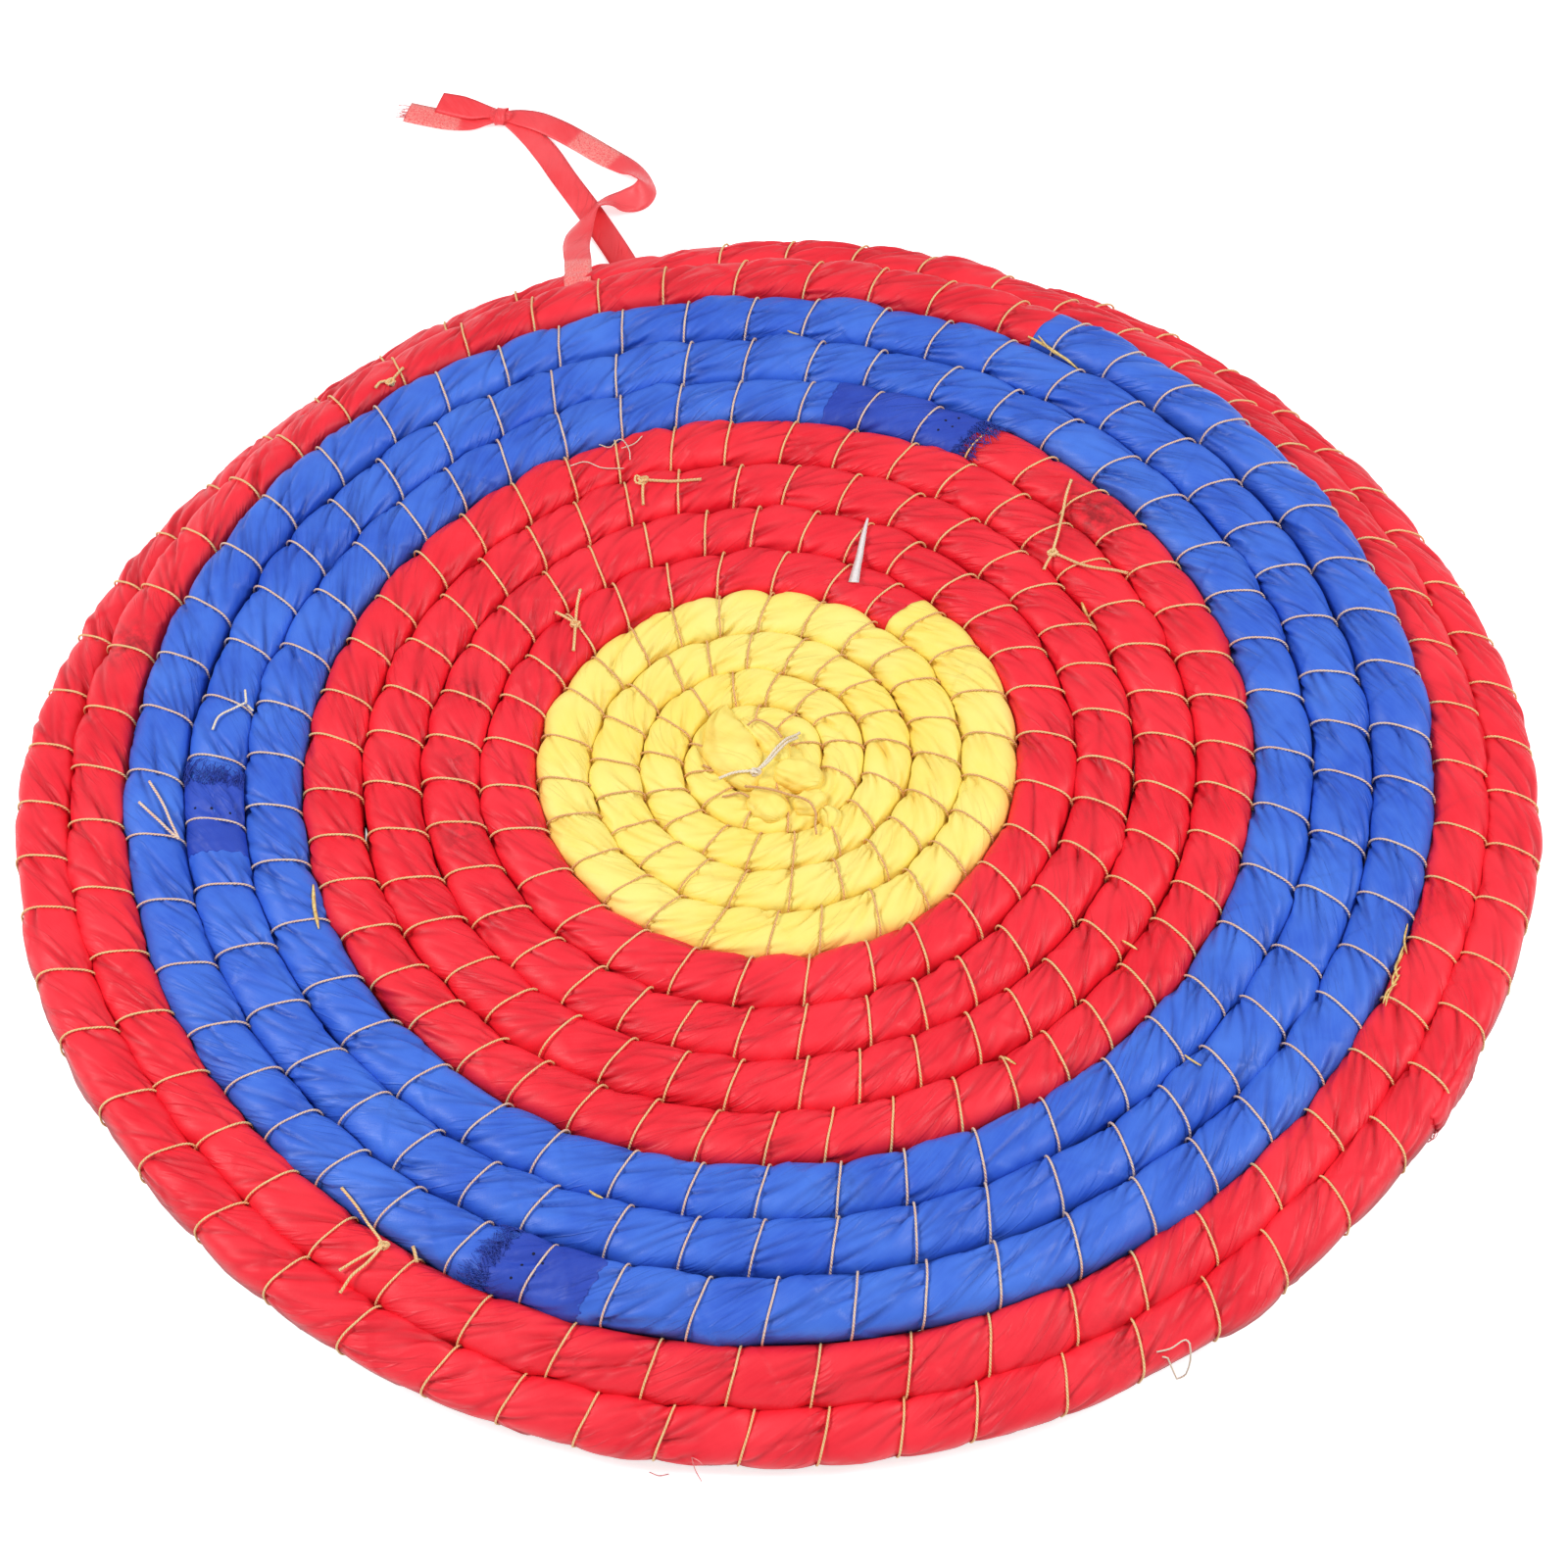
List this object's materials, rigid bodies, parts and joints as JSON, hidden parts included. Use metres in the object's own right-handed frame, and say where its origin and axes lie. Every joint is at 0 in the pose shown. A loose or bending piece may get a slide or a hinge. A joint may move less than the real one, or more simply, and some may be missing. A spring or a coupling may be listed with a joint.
{
  "type": "archery target boss",
  "caption": "Round target boss coiled from one satin-covered straw rope in yellow, red, blue and red rings, stitched turn to turn, with a hanging ribbon.",
  "frame": {"origin": "under the middle of the boss, in the plane on which its rim rests", "axes": "+Z out of the shooting face, away from the floor; the hanging loop lies 12.5 degrees from +Y towards -X"},
  "size_m": [0.5013, 0.5929, 0.0391],
  "materials": {
    "straw": "dry straw rope",
    "yellow": "satin cloth with a soft sheen",
    "red": "satin cloth with a soft sheen",
    "blue": "satin cloth with a soft sheen",
    "dark_blue": "satin cloth in two layers, with a frayed edge",
    "thread": "twisted stitching thread",
    "ribbon": "satin ribbon, creased where it was tied"
  },
  "bodies": {
    "coiled_boss": {"straw_core": "straw", "yellow_cover": "yellow", "inner_red_cover": "red", "blue_cover_1": "blue", "blue_cover_2": "blue", "blue_cover_3": "blue", "outer_red_cover": "red", "blue_overlap_1": "dark_blue", "blue_overlap_2": "dark_blue", "blue_overlap_3": "dark_blue", "rim_tuck": "red", "thread_knot_1": "thread", "thread_knot_2": "thread", "thread_knot_3": "thread", "thread_knot_4": "thread", "thread_knot_5": "thread", "thread_knot_6": "thread", "ribbon_wrap": "ribbon"},
    "hanging_loop": {"ribbon_left_leg": "ribbon", "ribbon_right_leg": "ribbon", "ribbon_knot": "ribbon", "ribbon_long_tail": "ribbon", "ribbon_short_tail": "ribbon"}
  },
  "joints": [
    {"name": "loop_swing", "type": "hinge", "parent": "coiled_boss", "child": "hanging_loop", "pos_m": [-0.05446, 0.22978, 0.02585], "axis": [0.9729, 0.223, 0.0613], "range_deg": [0, 165]}
  ]
}
